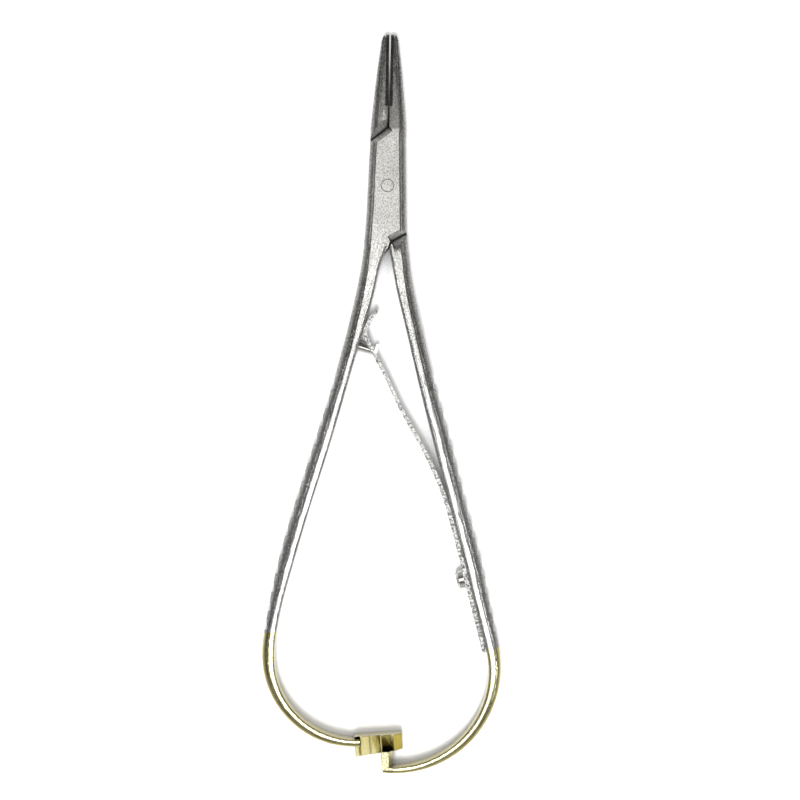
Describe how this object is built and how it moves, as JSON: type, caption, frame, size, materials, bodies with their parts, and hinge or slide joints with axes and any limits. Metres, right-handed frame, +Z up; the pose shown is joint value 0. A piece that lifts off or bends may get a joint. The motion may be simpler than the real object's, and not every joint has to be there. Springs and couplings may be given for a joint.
{
  "type": "surgical needle holder",
  "caption": "Palm-held surgical needle holder with serrated jaws on a box-lock hinge, curved handles with finger grips, a leaf spring and an end ratchet.",
  "frame": {"origin": "the pivot axis where it meets the flat face of the box that the instrument rests on", "axes": "+Y towards the tips of the jaws, +Z up from the resting face along the pivot axis, +X to the right seen from above"},
  "size_m": [0.0453, 0.1404, 0.006],
  "materials": {
    "satin_steel": "satin, gold-plated from the bows to the ratchet",
    "carbide": "matte ground",
    "spring_steel": "polished"
  },
  "bodies": {
    "box_side": {"box_half": "satin_steel", "pivot_pin": "satin_steel", "jaw_insert_right": "carbide", "spring_guide": "satin_steel"},
    "tongue_side": {"tongue_half": "satin_steel", "jaw_insert_left": "carbide", "leaf_spring": "spring_steel", "spring_screw": "spring_steel"}
  },
  "joints": [
    {"name": "box_lock_hinge", "type": "hinge", "parent": "box_side", "child": "tongue_side", "pos_m": [0, 0, 0.003], "axis": [0, 0, 1], "range_deg": [-0.5, 16], "deforming": ["leaf_spring"]}
  ]
}
